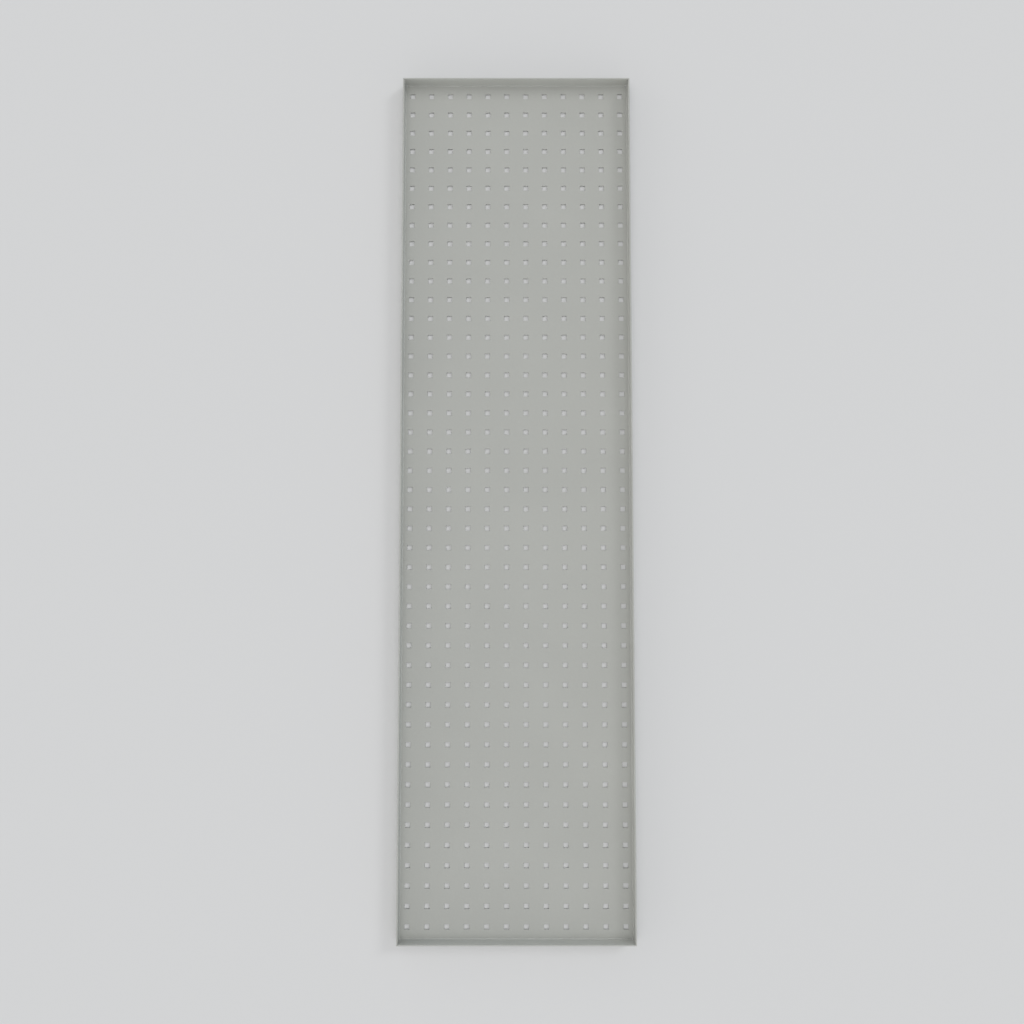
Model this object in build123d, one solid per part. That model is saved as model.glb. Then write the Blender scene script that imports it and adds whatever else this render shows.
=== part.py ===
from build123d import *
import os

# A perforated steel panel, punched and folded from one flat sheet: a flat face with a square
# grid of square holes, and a low flange folded up along each of its four edges.
# It lies on its perforated face, with the flanges standing up.
# Origin: middle of the underside.  +X across the width, +Y along the length, +Z up.
# All sizes are in millimetres.

# Driving dimensions
sheet_thickness = 2.5
hole_pitch = 38.0            # centre to centre, the same both ways
hole_columns = 12            # across the width
hole_rows = 44               # along the length
hole_side = 10.0             # each hole is a square of this side
side_margin = 17.0           # centre of an outermost column to the outside of a long flange
end_margin = 25.0            # centre of an outermost row to the outside of an end flange
flange_height = 25.0         # underside of the face to the rims
inside_bend_radius = 2.0     # of all four folds
corner_gap = 0.6             # slit between an end flange and a long flange, at each corner
corner_relief = 1.0          # square notch that keeps the folds apart, at each corner of the face

# Derived dimensions
panel_width = (hole_columns - 1) * hole_pitch + 2 * side_margin
panel_length = (hole_rows - 1) * hole_pitch + 2 * end_margin
fold_depth = sheet_thickness + inside_bend_radius       # outside of a flange to the flat face
face_width = panel_width - 2 * fold_depth
face_length = panel_length - 2 * fold_depth
end_flange_width = panel_width - 2 * (sheet_thickness + corner_gap)

on_the_floor = (Align.CENTER, Align.CENTER, Align.MIN)


def notched_face():
    """The flat face between the four folds, with a relief notch at each of its corners."""
    with BuildSketch() as outline:
        Rectangle(face_width, face_length)
        with GridLocations(face_width, face_length, 2, 2):
            Rectangle(2 * corner_relief, 2 * corner_relief, mode=Mode.SUBTRACT)
    return extrude(outline.sketch, amount=sheet_thickness)


def folded_section(overall):
    """Section across the panel: the flat face with a flange folded up at each side of it."""
    half = overall / 2
    with BuildSketch() as section:
        with BuildLine():
            FilletPolyline(
                (-half, flange_height), (-half, 0), (half, 0), (half, flange_height),
                radius=fold_depth,
            )
            offset(amount=sheet_thickness, side=Side.LEFT)
        make_face()
    return section.sketch


def folded_channel(overall, run):
    """The folded section drawn out along Y to a channel, with its middle at the origin."""
    return extrude(Plane.XZ * folded_section(overall), amount=run / 2, both=True)


def long_flanges():
    """The two long flanges and their folds, which run the full length of the panel."""
    between_the_folds = Box(face_width, panel_length, flange_height, align=on_the_floor)
    return folded_channel(panel_width, panel_length) - between_the_folds


def end_flanges():
    """The two end flanges, which stop just short of the long ones, and their shorter folds."""
    between_the_folds = Box(panel_width, face_length, flange_height, align=on_the_floor)
    flanges = Rot(Z=90) * folded_channel(panel_length, end_flange_width) - between_the_folds
    notch_side = 2 * (fold_depth + corner_relief)
    notch = Box(notch_side, notch_side, 2 * fold_depth)
    return flanges - [corner * notch for corner in GridLocations(panel_width, panel_length, 2, 2)]


def hole_punches():
    """One square punch for each hole of the grid, long enough to go right through the face."""
    punch = Box(hole_side, hole_side, 3 * sheet_thickness)
    return [hole * punch for hole in GridLocations(hole_pitch, hole_pitch, hole_columns, hole_rows)]


def perforated_panel():
    """The whole panel: the folded blank, with its holes punched through the face."""
    folded_blank = notched_face() + [*long_flanges().solids(), *end_flanges().solids()]
    return folded_blank - hole_punches()


os.makedirs("parts", exist_ok=True)
export_step(perforated_panel(), "parts/perforated_panel.step")
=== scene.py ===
"""A folded, perforated and powder-coated steel panel, in a pale studio.

It lies on its perforated face with its flanges up.
"""

from math import pi, radians

import bpy
from bpy.props import FloatProperty, FloatVectorProperty, IntProperty, PointerProperty
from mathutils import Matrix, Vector


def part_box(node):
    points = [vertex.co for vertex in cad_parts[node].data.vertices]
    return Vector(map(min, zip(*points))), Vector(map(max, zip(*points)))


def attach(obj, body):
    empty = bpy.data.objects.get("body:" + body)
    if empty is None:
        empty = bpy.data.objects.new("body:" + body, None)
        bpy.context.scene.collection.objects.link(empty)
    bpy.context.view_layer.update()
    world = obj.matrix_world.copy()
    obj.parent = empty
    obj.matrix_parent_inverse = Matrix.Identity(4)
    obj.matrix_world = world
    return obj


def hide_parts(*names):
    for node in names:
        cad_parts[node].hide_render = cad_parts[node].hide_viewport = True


bl_info = {
    "name": "Perforated Panel Maker",
    "version": (1, 0, 0),
    "blender": (4, 5, 0),
    "location": "View3D > Sidebar > Panel Maker",
    "description": "Folds, punches and powder-coats a perforated steel panel, in a studio",
    "category": "Object",
}

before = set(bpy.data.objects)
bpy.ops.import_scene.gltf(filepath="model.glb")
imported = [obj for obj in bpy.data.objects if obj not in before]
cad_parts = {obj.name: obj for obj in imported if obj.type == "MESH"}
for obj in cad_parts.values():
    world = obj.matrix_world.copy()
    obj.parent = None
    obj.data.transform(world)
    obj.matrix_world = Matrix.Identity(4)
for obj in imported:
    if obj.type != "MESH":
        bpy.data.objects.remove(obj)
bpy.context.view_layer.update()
PANEL_NODE = "perforated_panel"
LOW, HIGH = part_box(PANEL_NODE)


# ---------------------------------------------------------------- sizes and colours

class SheetSizes(bpy.types.PropertyGroup):
    """Sizes of the punched and folded sheet, in metres."""

    width: FloatProperty(
        name="Width", description="Over the two long flanges",
        default=HIGH.x - LOW.x, min=0.05, unit="LENGTH")
    length: FloatProperty(
        name="Length", description="Over the two end flanges",
        default=HIGH.y - LOW.y, min=0.05, unit="LENGTH")
    flange_height: FloatProperty(
        name="Flange Height", description="From the underside of the face to the rims",
        default=HIGH.z - LOW.z, min=0.004, unit="LENGTH")
    thickness: FloatProperty(
        name="Sheet Thickness", description="Thickness of the steel sheet",
        default=0.0025, min=0.0005, unit="LENGTH")
    bend_radius: FloatProperty(
        name="Inside Bend Radius", description="Inside radius of the four folds",
        default=0.002, min=0.0005, unit="LENGTH")
    hole_pitch: FloatProperty(
        name="Hole Pitch", description="Centre to centre of the holes, both ways",
        default=0.038, min=0.005, unit="LENGTH")
    hole_columns: IntProperty(
        name="Hole Columns", description="Holes across the width", default=12, min=1)
    hole_rows: IntProperty(
        name="Hole Rows", description="Holes along the length", default=44, min=1)
    hole_side: FloatProperty(
        name="Hole Side", description="Side of each square hole, between its painted walls",
        default=0.0098, min=0.001, unit="LENGTH")
    corner_gap: FloatProperty(
        name="Corner Gap", description="Slit between an end flange and a long flange",
        default=0.0006, min=0.0001, unit="LENGTH")
    corner_relief: FloatProperty(
        name="Corner Relief", description="Square notch at each corner of the face",
        default=0.001, min=0.0005, unit="LENGTH")
    edge_roll: FloatProperty(
        name="Edge Roll",
        description="Width of the rounding that punch, shears and paint give every edge",
        default=0.0006, min=0.00005, unit="LENGTH")
    fold_facets: IntProperty(
        name="Fold Facets", description="Flat strips around each quarter-turn fold",
        default=8, min=2)


class CoatLooks(bpy.types.PropertyGroup):
    """Colour and texture of the powder coat."""

    colour: FloatVectorProperty(
        name="Colour", description="Light warm grey of the coat", subtype="COLOR",
        default=(0.397, 0.402, 0.376), size=3, min=0.0, max=1.0)
    mottle: FloatProperty(
        name="Mottle", description="How far the colour drifts over the sheet",
        default=0.045, min=0.0, max=1.0)
    roughness: FloatProperty(
        name="Roughness", description="Mean roughness of the matt coat",
        default=0.60, min=0.0, max=1.0)
    grain_size: FloatProperty(
        name="Grain Size", description="Size of the orange-peel dimples",
        default=0.0013, min=0.0001, unit="LENGTH")
    grain_depth: FloatProperty(
        name="Grain Depth", description="Depth of the orange-peel dimples",
        default=0.00006, min=0.0, unit="LENGTH")


class StudioSettings(bpy.types.PropertyGroup):
    """Floor, sky, key lamp and camera."""

    floor_colour: FloatVectorProperty(
        name="Floor Colour", description="Pale studio floor", subtype="COLOR",
        default=(0.63, 0.63, 0.63), size=3, min=0.0, max=1.0)
    floor_size: FloatProperty(
        name="Floor Size", description="Side of the square floor",
        default=60.0, min=1.0, unit="LENGTH")
    even_light: FloatProperty(
        name="Even Light", description="Soft light from the whole sky", default=0.23, min=0.0)
    overhead_light: FloatProperty(
        name="Overhead Light", description="Soft light from straight above", default=2.0, min=0.0)
    low_light: FloatProperty(
        name="Low Light", description="Soft light from low down, which reaches the upright flanges",
        default=3.95, min=0.0)
    key_side_drop: FloatProperty(
        name="Key Side Drop",
        description="How much less low light comes from the side that the key lamp stands on",
        default=0.9, min=0.0, max=1.0)
    cool_side: FloatProperty(
        name="Cool Side",
        description="How blue the low light is on the side that the key lamp stands on",
        default=0.22, min=0.0, max=1.0)
    key_share: FloatProperty(
        name="Key Share", description="Light on level surfaces from the soft key lamp",
        default=0.11, min=0.0)
    backdrop: FloatProperty(
        name="Backdrop", description="How bright the sky itself looks, 1 being white",
        default=0.66, min=0.0)
    camera_height: FloatProperty(
        name="Camera Height", description="Height above the face",
        default=1.500, min=0.1, unit="LENGTH")
    camera_setback: FloatProperty(
        name="Camera Setback", description="Distance from the middle towards the near end",
        default=0.1084, unit="LENGTH")
    camera_aside: FloatProperty(
        name="Camera Aside", description="Distance from the middle to the left",
        default=0.0085, unit="LENGTH")
    camera_tilt: FloatProperty(
        name="Camera Tilt", description="Turn from straight down towards the far end",
        default=radians(3.18), subtype="ANGLE")
    focal_length: FloatProperty(
        name="Focal Length", description="In millimetres, for a sensor 36 mm wide",
        default=26.9, min=5.0)


# ---------------------------------------------------------------- node tools

class Signal:
    """A node's output socket, on which arithmetic adds Math nodes to the same tree."""

    def __init__(self, bench, socket):
        self.bench = bench
        self.socket = socket

    def __add__(self, other):
        return self.bench.math("ADD", self, other)

    def __radd__(self, other):
        return self.bench.math("ADD", other, self)

    def __sub__(self, other):
        return self.bench.math("SUBTRACT", self, other)

    def __rsub__(self, other):
        return self.bench.math("SUBTRACT", other, self)

    def __mul__(self, other):
        return self.bench.math("MULTIPLY", self, other)

    def __rmul__(self, other):
        return self.bench.math("MULTIPLY", other, self)

    def __truediv__(self, other):
        return self.bench.math("DIVIDE", self, other)

    def __rtruediv__(self, other):
        return self.bench.math("DIVIDE", other, self)

    def __pow__(self, other):
        return self.bench.math("POWER", self, other)

    def __rpow__(self, other):
        return self.bench.math("POWER", other, self)


class Bench:
    """Adds nodes to one tree, for shaders and for geometry alike."""

    def __init__(self, tree):
        self.tree = tree

    def add(self, kind, settings=None, sockets=None):
        """Adds a node: its settings first, and then what goes into each named or numbered socket.

        A socket takes a value, a signal or a list of signals.
        """
        node = self.tree.nodes.new(kind)
        for name, value in (settings or {}).items():
            setattr(node, name, value)
        for key, value in (sockets or {}).items():
            for one in value if isinstance(value, list) else [value]:
                if isinstance(one, Signal):
                    self.tree.links.new(one.socket, node.inputs[key])
                else:
                    node.inputs[key].default_value = one
        return node

    def node(self, kind, settings=None, sockets=None, output=0):
        """Adds a node and gives back one of its outputs."""
        return Signal(self, self.add(kind, settings, sockets).outputs[output])

    def math(self, operation, first, second=0.0, tolerance=0.0):
        """Adds a Math node. Only COMPARE takes a tolerance."""
        return self.node("ShaderNodeMath", {"operation": operation}, {
            0: first, 1: second, 2: tolerance})

    def vector(self, x=0.0, y=0.0, z=0.0):
        """A vector, from three numbers or signals."""
        return self.node("ShaderNodeCombineXYZ", None, {"X": x, "Y": y, "Z": z})

    def split(self, vector):
        """The x, y and z of a vector."""
        node = self.add("ShaderNodeSeparateXYZ", None, {"Vector": vector})
        return [Signal(self, node.outputs[axis]) for axis in "XYZ"]


def empty_bench(owner):
    """Takes out a material's or a world's own nodes, and gives a bench to add others."""
    owner.use_nodes = True
    owner.node_tree.nodes.clear()
    return Bench(owner.node_tree)


# ---------------------------------------------------------------- the sheet, as Geometry Nodes

SHEET_INPUTS = (
    ("Width", "NodeSocketFloat", "width"),
    ("Length", "NodeSocketFloat", "length"),
    ("Flange Height", "NodeSocketFloat", "flange_height"),
    ("Sheet Thickness", "NodeSocketFloat", "thickness"),
    ("Inside Bend Radius", "NodeSocketFloat", "bend_radius"),
    ("Hole Pitch", "NodeSocketFloat", "hole_pitch"),
    ("Hole Columns", "NodeSocketInt", "hole_columns"),
    ("Hole Rows", "NodeSocketInt", "hole_rows"),
    ("Hole Side", "NodeSocketFloat", "hole_side"),
    ("Corner Gap", "NodeSocketFloat", "corner_gap"),
    ("Corner Relief", "NodeSocketFloat", "corner_relief"),
    ("Fold Facets", "NodeSocketInt", "fold_facets"),
)
QUARTER_TURN = pi / 2
CLOSE = 0.00001                 # points nearer than this are the same point
END_STRIP = "end_strip"         # marks the points that fold about the end fold lines


class SheetTree:
    """The node tree that punches the flat blank, gives it its thickness and folds up its edges.

    The blank starts as the perforated field, and grows outwards strip by strip: the rest of the
    face, the fold strips, and the flanges. Every strip keeps the field's grid lines, so the whole
    sheet is made of four-sided faces.
    """

    def __init__(self):
        self.tree = bpy.data.node_groups.new("Folded perforated sheet", "GeometryNodeTree")
        self.bench = Bench(self.tree)
        self.math = self.bench.math
        sockets = self.tree.interface
        for name, kind, _ in SHEET_INPUTS:
            sockets.new_socket(name, in_out="INPUT", socket_type=kind)
        sockets.new_socket("Coat", in_out="INPUT", socket_type="NodeSocketMaterial")
        sockets.new_socket("Geometry", in_out="OUTPUT", socket_type="NodeSocketGeometry")
        given = self.tree.nodes.new("NodeGroupInput")
        self.given = {s.name: Signal(self.bench, s) for s in given.outputs if s.name}
        self.measure()
        self.build()

    def measure(self):
        """Lengths that follow from the inputs.

        fold is the outside radius of a fold, and fold_strip the width of the flat strip that
        becomes its outside. leg is the straight part of a flange.
        """
        given = self.given
        self.thickness, self.relief = given["Sheet Thickness"], given["Corner Relief"]
        self.fold = self.thickness + given["Inside Bend Radius"]
        self.fold_strip = self.fold * QUARTER_TURN
        self.leg = given["Flange Height"] - self.fold
        self.half_face_width = given["Width"] / 2 - self.fold
        self.half_face_length = given["Length"] / 2 - self.fold
        self.half_end_flange = given["Width"] / 2 - self.thickness - given["Corner Gap"]

    # Small steps

    def position(self):
        """The x, y and z of each point, or of the middle of each edge or face."""
        return self.bench.split(self.bench.node("GeometryNodeInputPosition"))

    def size_of(self, value):
        return self.math("ABSOLUTE", value)

    def side_of(self, value):
        return self.math("SIGN", value)

    def at(self, value, target):
        """1 where value is target on either side of the middle, otherwise 0."""
        return self.math("COMPARE", self.size_of(value), target, CLOSE)

    def beyond(self, value, target):
        """1 where value is past target on either side of the middle, otherwise 0."""
        return self.math("GREATER_THAN", self.size_of(value), target)

    def choose(self, which, otherwise, chosen):
        """Chosen where which is 1, and otherwise where it is 0."""
        return otherwise + which * (chosen - otherwise)

    def move(self, piece, x=None, y=None, z=None):
        """Moves the points to a new x, y or z, and leaves the others as they are."""
        here = self.position()
        target = self.bench.vector(*(
            old if new is None else new for old, new in zip(here, (x, y, z))))
        return self.bench.node("GeometryNodeSetPosition", None, {
            "Geometry": piece, "Position": target})

    def grow(self, piece, edges, x=0.0, y=0.0):
        """Draws the chosen edges outwards to a strip. Gives the piece and the strip's far edges."""
        node = self.bench.add("GeometryNodeExtrudeMesh", {"mode": "EDGES"}, {
            "Mesh": piece, "Selection": edges, "Offset": self.bench.vector(x, y),
            "Offset Scale": 1.0})
        return Signal(self.bench, node.outputs["Mesh"]), Signal(self.bench, node.outputs["Top"])

    def grow_fold(self, piece, edges, x=0.0, y=0.0):
        """Grows a fold strip, in as many narrow strips as there are facets round the fold."""
        first = self.tree.nodes.new("GeometryNodeRepeatInput")
        last = self.tree.nodes.new("GeometryNodeRepeatOutput")
        first.pair_with_output(last)
        last.repeat_items.new("BOOLEAN", "Edges")
        facets = self.given["Fold Facets"]
        for name, value in {"Iterations": facets, "Geometry": piece, "Edges": edges}.items():
            self.tree.links.new(value.socket, first.inputs[name])
        so_far, outer = (Signal(self.bench, first.outputs[name]) for name in ("Geometry", "Edges"))
        grown, far = self.grow(so_far, outer, x / facets, y / facets)
        self.tree.links.new(grown.socket, last.inputs["Geometry"])
        self.tree.links.new(far.socket, last.inputs["Edges"])
        return [Signal(self.bench, last.outputs[name]) for name in ("Geometry", "Edges")]

    def join(self, *pieces):
        """The pieces as one, with the points that meet welded together."""
        joined = self.bench.node("GeometryNodeJoinGeometry", None, {"Geometry": list(pieces)})
        return self.bench.node("GeometryNodeMergeByDistance", None, {
            "Geometry": joined, "Distance": CLOSE})

    # The blank, flat and without thickness

    def tile(self):
        """One pitch of the sheet, with its square hole: eight faces round an empty one.

        It starts as three by three faces, each one metre square. The middle one is taken out, and
        the lines are then moved to the edges of the hole and of the tile.
        """
        grid = self.bench.node("GeometryNodeMeshGrid", None, {
            "Size X": 3.0, "Size Y": 3.0, "Vertices X": 4, "Vertices Y": 4})
        x, y, _ = self.position()
        middle = (1.0 - self.beyond(x, 0.5)) * (1.0 - self.beyond(y, 0.5))
        opened = self.bench.node("GeometryNodeDeleteGeometry", {"domain": "FACE", "mode": "ALL"}, {
            "Geometry": grid, "Selection": middle})
        hole, pitch = self.given["Hole Side"] / 2, self.given["Hole Pitch"] / 2
        lines = [self.side_of(v) * self.choose(self.beyond(v, 1.0), hole, pitch) for v in (x, y)]
        return self.move(opened, *lines)

    def field(self):
        """All the tiles, welded, with the outermost lines moved to the notches' inner corners."""
        pitch = self.given["Hole Pitch"]
        columns, rows = self.given["Hole Columns"], self.given["Hole Rows"]
        points = self.bench.node("GeometryNodeMeshGrid", None, {
            "Size X": (columns - 1) * pitch, "Size Y": (rows - 1) * pitch,
            "Vertices X": columns, "Vertices Y": rows})
        copies = self.bench.node("GeometryNodeInstanceOnPoints", None, {
            "Points": points, "Instance": self.tile()})
        real = self.bench.node("GeometryNodeRealizeInstances", None, {"Geometry": copies})
        x, y, _ = self.position()
        edge_x = self.at(x, columns * pitch / 2)
        edge_y = self.at(y, rows * pitch / 2)
        return self.move(
            self.join(real),
            self.choose(edge_x, x, self.side_of(x) * (self.half_face_width - self.relief)),
            self.choose(edge_y, y, self.side_of(y) * (self.half_face_length - self.relief)))

    def with_end_flanges(self, field):
        """The field with its end flanges and their folds, whose points are marked."""
        x, y, _ = self.position()
        side, end = self.half_face_width - self.relief, self.half_face_length - self.relief
        out = self.side_of(y)
        piece, far = self.grow(field, self.at(y, end), y=out * self.relief)
        piece, far = self.grow_fold(piece, far, y=out * self.fold_strip)
        piece, far = self.grow(piece, far, y=out * self.relief)
        piece, _ = self.grow(piece, far, y=out * (self.leg - self.relief))
        notch_end = self.half_face_length + self.fold_strip + self.relief
        leg_sides = self.at(x, side) * self.beyond(y, notch_end)
        piece, _ = self.grow(piece, leg_sides, x=self.side_of(x) * (self.half_end_flange - side))
        return self.bench.node(
            "GeometryNodeStoreNamedAttribute", {"data_type": "FLOAT", "domain": "POINT"},
            {"Geometry": piece, "Name": END_STRIP, "Value": self.beyond(y, end + CLOSE)})

    def with_long_flanges(self, piece):
        """The piece with its long flanges, which reach past the end folds to the panel's ends."""
        x, y, _ = self.position()
        side, end = self.half_face_width - self.relief, self.half_face_length - self.relief
        out = self.side_of(x)
        field_sides = self.at(x, side) * (1.0 - self.beyond(y, end))
        piece, far = self.grow(piece, field_sides, x=out * self.relief)
        piece, far = self.grow_fold(piece, far, x=out * self.fold_strip)
        piece, _ = self.grow(piece, far, x=out * self.leg)
        short_ends = self.at(y, end) * self.beyond(x, self.half_face_width)
        piece, _ = self.grow(piece, short_ends, y=self.side_of(y) * (self.relief + self.fold))
        return piece

    # The solid sheet

    def thicken(self, blank):
        """Gives the flat blank its thickness, with walls round its outline and its holes."""
        raised = self.bench.add("GeometryNodeExtrudeMesh", {"mode": "FACES"}, {
            "Mesh": blank, "Offset": self.bench.vector(z=self.thickness), "Offset Scale": 1.0,
            "Individual": False})
        underside = self.bench.node("GeometryNodeFlipFaces", None, {"Mesh": blank})
        return self.join(Signal(self.bench, raised.outputs["Mesh"]), underside)

    def folded(self, along, height, half_face):
        """Where a point goes when its strip folds up: its place outwards, and its height."""
        past = self.math("MAXIMUM", self.size_of(along) - half_face, 0.0)
        turned = self.math("MINIMUM", past / self.fold_strip, 1.0) * QUARTER_TURN
        straight = self.math("MAXIMUM", past - self.fold_strip, 0.0)
        radius = self.fold - height
        flat = self.math("MINIMUM", self.size_of(along), half_face)
        out = flat + radius * self.math("SINE", turned)
        rise = self.fold - radius * self.math("COSINE", turned) + straight
        return self.side_of(along) * out, rise

    def fold_up(self, sheet):
        """Folds the end strips up about the end fold lines, and the rest about the long ones."""
        x, y, z = self.position()
        marked = self.bench.node(
            "GeometryNodeInputNamedAttribute", {"data_type": "FLOAT"}, {"Name": END_STRIP})
        is_end = self.math("GREATER_THAN", marked, 0.5)
        long_x, long_z = self.folded(x, z, self.half_face_width)
        end_y, end_z = self.folded(y, z, self.half_face_length)
        return self.move(
            sheet, self.choose(is_end, long_x, x), self.choose(is_end, y, end_y),
            self.choose(is_end, long_z, end_z))

    def build(self):
        blank = self.with_long_flanges(self.with_end_flanges(self.field()))
        sheet = self.fold_up(self.thicken(blank))
        smooth = self.bench.node("GeometryNodeSetShadeSmooth", None, {"Geometry": sheet})
        real = self.bench.node("GeometryNodeRealizeInstances", None, {"Geometry": smooth})
        coated = self.bench.node("GeometryNodeSetMaterial", None, {
            "Geometry": real, "Material": self.given["Coat"]})
        end = self.tree.nodes.new("NodeGroupOutput")
        self.tree.links.new(coated.socket, end.inputs["Geometry"])


def set_inputs(modifier, values):
    """Sets a Geometry Nodes modifier's inputs, each found by its name and set by its identifier."""
    for item in modifier.node_group.interface.items_tree:
        if item.item_type == "SOCKET" and item.in_out == "INPUT" and item.name in values:
            modifier[item.identifier] = values[item.name]


def plain_mesh(name, carrier):
    """Swaps a modified object for a new one that holds its evaluated mesh and no modifier."""
    depsgraph = bpy.context.evaluated_depsgraph_get()
    mesh = bpy.data.meshes.new_from_object(carrier.evaluated_get(depsgraph))
    mesh.name = name
    draft = carrier.data
    bpy.data.objects.remove(carrier)
    bpy.data.meshes.remove(draft)
    piece = bpy.data.objects.new(name, mesh)
    bpy.context.scene.collection.objects.link(piece)
    return piece


# ---------------------------------------------------------------- finishes

DRIFT_SCALE = 5.0               # how many patches of the slow drift there are to a metre
SPECKLE_FINENESS = 1.2          # how many specks there are across a dimple
DRIFT_IN_COLOUR = 1.2           # how much of the mottle is drift, and how much is speckle
SPECKLE_IN_COLOUR = 2.0
DRIFT_IN_SHEEN = 0.10           # how far the roughness follows the drift and the speckle
SPECKLE_IN_SHEEN = 0.15
COLOUR_A, COLOUR_B = 6, 7       # a Mix node's numbered sockets for colours
COLOUR_RESULT = 2


def powder_coat(looks):
    """Matt powder coat: orange-peel dimples, fine speckle and a slow drift of colour and sheen."""
    material = bpy.data.materials.new("powder_coat")
    bench = empty_bench(material)
    place = bench.node("ShaderNodeTexCoord", output="Object")
    drift = bench.node("ShaderNodeTexNoise", None, {
        "Vector": place, "Scale": DRIFT_SCALE, "Detail": 3.0, "Roughness": 0.55})
    speckle = bench.node("ShaderNodeTexNoise", None, {
        "Vector": place, "Scale": SPECKLE_FINENESS / looks.grain_size, "Detail": 2.0,
        "Roughness": 0.6})
    dimples = bench.node("ShaderNodeTexNoise", None, {
        "Vector": place, "Scale": 1.0 / looks.grain_size, "Detail": 1.5, "Roughness": 0.45})
    dark = (*(c * (1 - looks.mottle) for c in looks.colour), 1.0)
    light = (*(min(1.0, c * (1 + looks.mottle)) for c in looks.colour), 1.0)
    shade = 0.5 + (drift - 0.5) * DRIFT_IN_COLOUR + (speckle - 0.5) * SPECKLE_IN_COLOUR
    sheen = looks.roughness + (drift - 0.5) * DRIFT_IN_SHEEN + (speckle - 0.5) * SPECKLE_IN_SHEEN
    colour = bench.node("ShaderNodeMix", {"data_type": "RGBA"}, {
        "Factor": shade, COLOUR_A: dark, COLOUR_B: light}, output=COLOUR_RESULT)
    relief = bench.node("ShaderNodeBump", None, {
        "Height": dimples, "Distance": looks.grain_depth, "Strength": 1.0})
    coat = bench.node("ShaderNodeBsdfPrincipled", None, {
        "Base Color": colour, "Roughness": sheen, "Normal": relief})
    bench.add("ShaderNodeOutputMaterial", None, {"Surface": coat})
    return material


def studio_floor(colour):
    """Plain matt paint."""
    material = bpy.data.materials.new("studio_floor")
    bench = empty_bench(material)
    matt = bench.node("ShaderNodeBsdfDiffuse", None, {"Color": (*colour, 1.0), "Roughness": 0.0})
    bench.add("ShaderNodeOutputMaterial", None, {"Surface": matt})
    return material


# ---------------------------------------------------------------- operators

ROLL_SEGMENTS = 2               # faces across each rolled edge
ROLL_ANGLE = radians(30)        # edges that turn by more than this are rolled
FLOOR_GAP = 0.0004              # keeps the floor out of the plane of the sheet's underside
LOW_LIGHT_FALL = 4              # how fast the low light fades with height
OVERHEAD_FOCUS = 6              # how closely the overhead light gathers round the zenith
KEY_FROM = (1.42, 1.0, 1.0)     # towards the key lamp, up beyond the far right corner
KEY_SPREAD = radians(18)        # how wide the key lamp looks from the panel
WHITE = (1.0, 1.0, 1.0, 1.0)
SHADER_A, SHADER_B = 1, 2       # a Mix Shader node's numbered sockets for shaders
SENSOR_WIDTH = 36.0             # millimetres


class PANELMAKER_OT_sheet(bpy.types.Operator):
    """Punch, notch and fold the perforated sheet, and powder-coat it"""

    bl_idname = "panelmaker.sheet"
    bl_label = "Fold the Perforated Sheet"

    def execute(self, context):
        sizes = context.scene.panel_sheet
        carrier = bpy.data.objects.new("sheet_draft", bpy.data.meshes.new("sheet_draft"))
        context.scene.collection.objects.link(carrier)
        values = {name: getattr(sizes, field) for name, _, field in SHEET_INPUTS}
        values["Coat"] = powder_coat(context.scene.panel_coat)
        folded = carrier.modifiers.new("Folded sheet", "NODES")
        folded.node_group = SheetTree().tree
        set_inputs(folded, values)
        rolled = carrier.modifiers.new("Rolled edges", "BEVEL")
        rolled.width = sizes.edge_roll
        rolled.segments = ROLL_SEGMENTS
        rolled.limit_method = "ANGLE"
        rolled.angle_limit = ROLL_ANGLE
        level = carrier.modifiers.new("Level faces", "WEIGHTED_NORMAL")
        level.keep_sharp = True
        sheet = plain_mesh("folded_perforated_sheet", carrier)
        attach(sheet, "root")
        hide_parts(PANEL_NODE)
        return {"FINISHED"}


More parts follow.
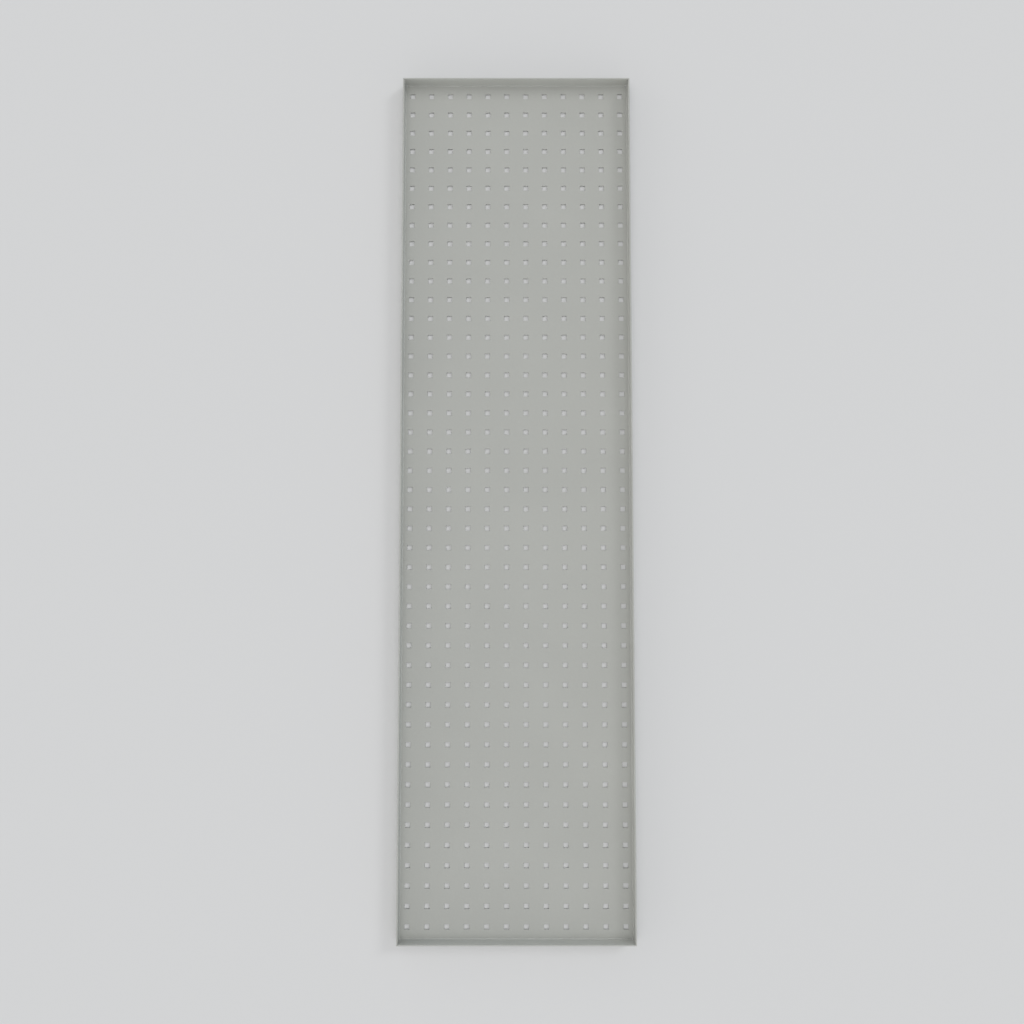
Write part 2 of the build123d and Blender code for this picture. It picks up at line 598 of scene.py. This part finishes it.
class PANELMAKER_OT_studio(bpy.types.Operator):
    """Lay the pale floor, and set the soft light and the camera"""

    bl_idname = "panelmaker.studio"
    bl_label = "Set the Studio"

    def execute(self, context):
        scene, studio = context.scene, context.scene.panel_studio
        self.floor(scene, studio)
        self.sky(scene, studio)
        self.key_lamp(scene, studio)
        self.camera(scene, studio)
        return {"FINISHED"}

    def floor(self, scene, studio):
        half, level = studio.floor_size / 2, LOW.z - FLOOR_GAP
        mesh = bpy.data.meshes.new("studio_floor")
        corners = ((-half, -half), (half, -half), (half, half), (-half, half))
        mesh.from_pydata([(x, y, level) for x, y in corners], [], [(0, 1, 2, 3)])
        mesh.materials.append(studio_floor(studio.floor_colour))
        floor = bpy.data.objects.new("studio_floor", mesh)
        scene.collection.objects.link(floor)

    def sky(self, scene, studio):
        """Lights the panel from above and from low down, and looks like a plain pale backdrop."""
        world = bpy.data.worlds.new("studio_sky")
        scene.world = world
        bench = empty_bench(world)
        x, y, z = bench.split(bench.node("ShaderNodeTexCoord", output="Generated"))
        steep = bench.math("ABSOLUTE", z)       # the same below the horizon as above it
        low = 1.0 - steep
        toward = Vector(KEY_FROM).normalized()
        facing = bench.math("MAXIMUM", x * toward.x + y * toward.y, 0.0)
        cool = facing * low * studio.cool_side
        tint = bench.node("ShaderNodeCombineColor", None, {
            "Red": 1.0 - cool, "Green": 1.0, "Blue": 1.0 + cool})
        around = low ** LOW_LIGHT_FALL * (1.0 - facing * studio.key_side_drop) * studio.low_light
        overhead = steep ** OVERHEAD_FOCUS * studio.overhead_light
        light = bench.node("ShaderNodeBackground", None, {
            "Color": tint, "Strength": studio.even_light + around + overhead})
        backdrop = bench.node("ShaderNodeBackground", None, {
            "Color": WHITE, "Strength": studio.backdrop})
        seen, mirrored, sent_through = (
            bench.node("ShaderNodeLightPath", output=f"Is {kind} Ray")
            for kind in ("Camera", "Glossy", "Transmission"))
        both = bench.node("ShaderNodeMixShader", None, {
            "Fac": seen + mirrored + sent_through, SHADER_A: light, SHADER_B: backdrop})
        bench.add("ShaderNodeOutputWorld", None, {"Surface": both})

    def key_lamp(self, scene, studio):
        toward = Vector(KEY_FROM).normalized()
        lamp = bpy.data.lights.new("soft_key", "SUN")
        lamp.angle = KEY_SPREAD
        lamp.energy = studio.key_share * pi / toward.z
        key = bpy.data.objects.new("soft_key", lamp)
        key.rotation_euler = toward.to_track_quat("Z", "Y").to_euler()
        scene.collection.objects.link(key)

    def camera(self, scene, studio):
        data = bpy.data.cameras.new("camera")
        data.sensor_width = SENSOR_WIDTH
        data.lens = studio.focal_length
        camera = bpy.data.objects.new("camera", data)
        middle = (LOW + HIGH) / 2
        camera.location = (
            middle.x - studio.camera_aside,
            middle.y - studio.camera_setback,
            LOW.z + scene.panel_sheet.thickness + studio.camera_height)
        camera.rotation_euler = (studio.camera_tilt, 0.0, 0.0)
        scene.collection.objects.link(camera)
        scene.camera = camera


class PANELMAKER_PT_sidebar(bpy.types.Panel):
    """Lists the steps that make the panel"""

    bl_label = "Perforated Panel"
    bl_idname = "PANELMAKER_PT_sidebar"
    bl_space_type = "VIEW_3D"
    bl_region_type = "UI"
    bl_category = "Panel Maker"

    def draw(self, context):
        for settings in GROUPS:
            group = getattr(context.scene, settings)
            column = self.layout.column(align=True)
            for name in group.__annotations__:
                column.prop(group, name)
        for operator in OPERATORS:
            self.layout.operator(operator.bl_idname)


OPERATORS = (PANELMAKER_OT_sheet, PANELMAKER_OT_studio)
GROUPS = {"panel_sheet": SheetSizes, "panel_coat": CoatLooks, "panel_studio": StudioSettings}
CLASSES = (*GROUPS.values(), *OPERATORS, PANELMAKER_PT_sidebar)


def register():
    for kind in CLASSES:
        bpy.utils.register_class(kind)
    for name, kind in GROUPS.items():
        setattr(bpy.types.Scene, name, PointerProperty(type=kind))


def unregister():
    for name in GROUPS:
        delattr(bpy.types.Scene, name)
    for kind in reversed(CLASSES):
        bpy.utils.unregister_class(kind)


def main():
    register()
    bpy.context.scene.view_settings.view_transform = "Standard"
    bpy.ops.panelmaker.sheet()
    bpy.ops.panelmaker.studio()


if __name__ == "__main__":
    main()
